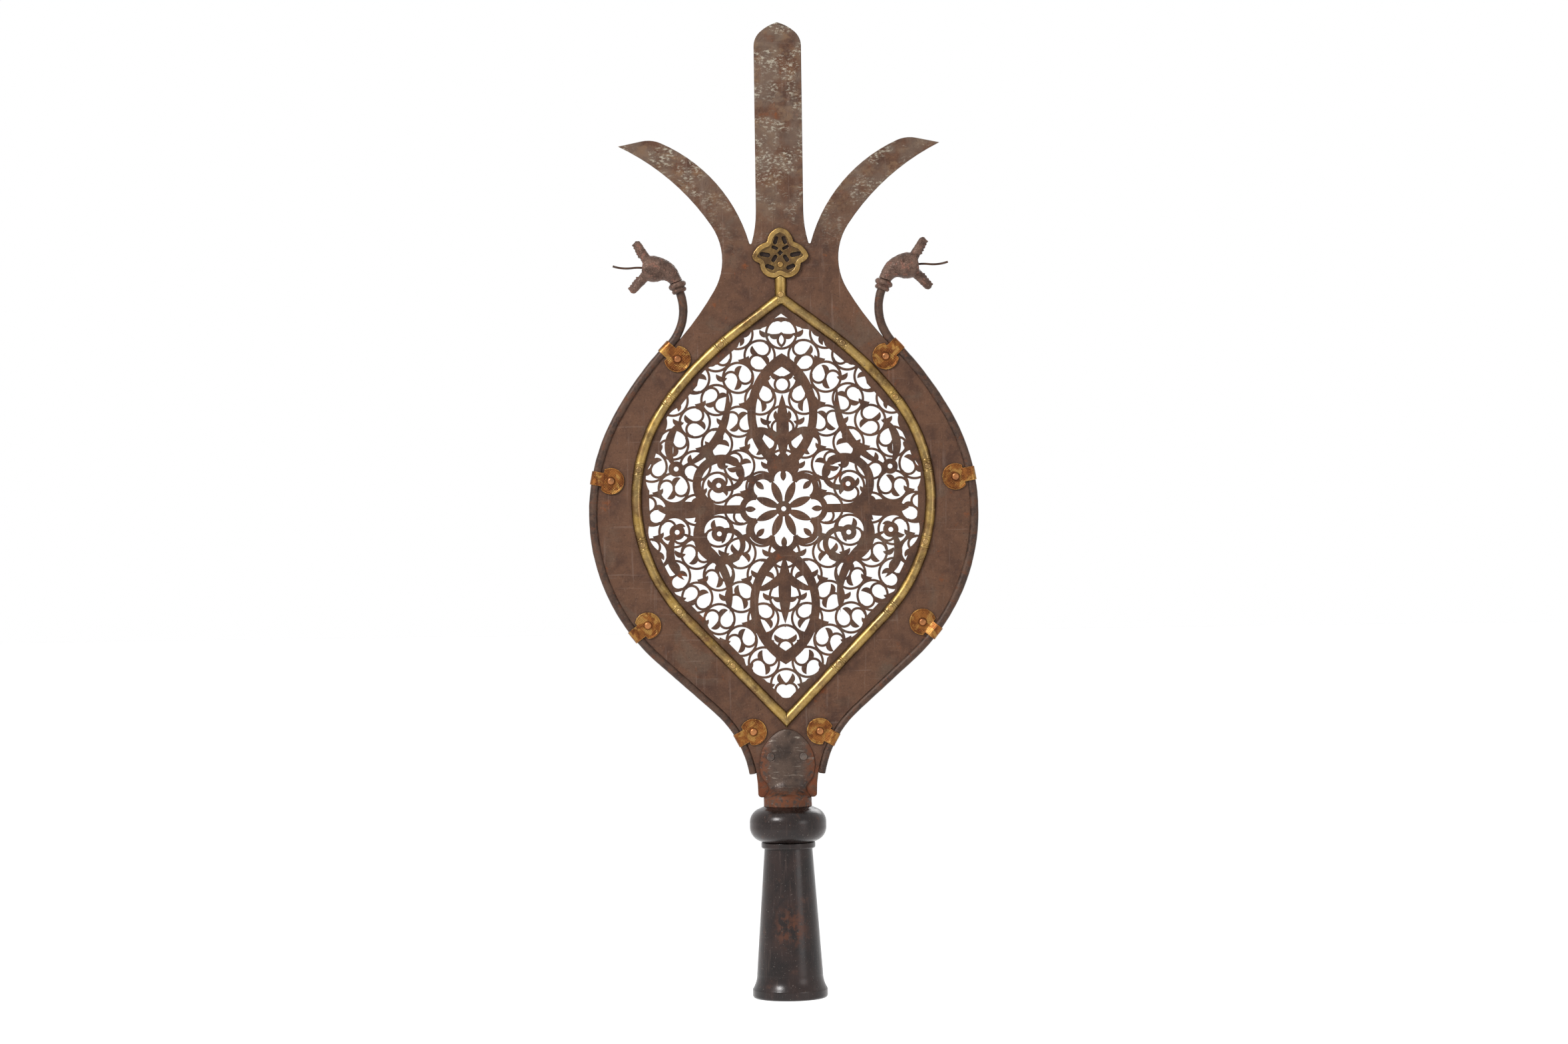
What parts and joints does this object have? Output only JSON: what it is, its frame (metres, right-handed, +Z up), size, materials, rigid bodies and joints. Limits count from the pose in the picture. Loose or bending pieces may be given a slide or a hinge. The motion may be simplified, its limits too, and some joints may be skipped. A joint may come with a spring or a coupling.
{
  "type": "processional standard head",
  "caption": "Pear-shaped pierced steel standard head with sword blade, horns, dragon-headed rods, brass-framed openwork panel and pole socket.",
  "frame": {"origin": "centre of the socket mouth, in the plane of its lower rim", "axes": "+Z up the blade, +X to the right of someone facing the front, the front faces -Y"},
  "size_m": [0.3214, 0.0632, 0.8055],
  "materials": {
    "plate_steel": "hand-forged steel sheet, brown with age, dull sheen",
    "panel_steel": "cut steel sheet, brown with age, dull sheen",
    "moulding_brass": "half-round brass strip, dark patina with rubbed highlights",
    "nail_brass": "rounded brass nail heads, rubbed bright",
    "boss_brass": "cast brass, dark in the hollows",
    "clip_copper": "gilt copper sheet, warm and rubbed",
    "rivet_copper": "rounded copper rivet heads",
    "rivet_iron": "hammered iron rivets",
    "rod_iron": "forged iron bar, brown patina",
    "head_iron": "chiselled iron, rough, with rust in the hollows",
    "socket_iron": "turned and burnished iron, dark brown, semi-gloss"
  },
  "bodies": {
    "root": {"plate": "plate_steel", "pierced_panel": "panel_steel", "moulding_front_left": "moulding_brass", "moulding_front_right": "moulding_brass", "moulding_back_left": "moulding_brass", "moulding_back_right": "moulding_brass", "moulding_nails": "nail_brass", "boss_front": "boss_brass", "boss_back": "boss_brass", "boss_pin": "nail_brass", "clip_rivets": "rivet_copper", "fork_rivets": "rivet_iron", "socket_fork": "socket_iron", "socket_knop": "socket_iron", "knop_ring": "socket_iron", "peen_washer": "socket_iron", "socket_tube": "socket_iron", "clip_left_top": "clip_copper", "clip_left_middle": "clip_copper", "clip_left_lower": "clip_copper", "clip_left_bottom": "clip_copper", "dragon_rod_left": "rod_iron", "dragon_collar_left": "head_iron", "dragon_head_left": "head_iron", "dragon_tongue_left": "rod_iron", "clip_right_top": "clip_copper", "clip_right_middle": "clip_copper", "clip_right_lower": "clip_copper", "clip_right_bottom": "clip_copper", "dragon_rod_right": "rod_iron", "dragon_collar_right": "head_iron", "dragon_head_right": "head_iron", "dragon_tongue_right": "rod_iron"}
  },
  "joints": []
}
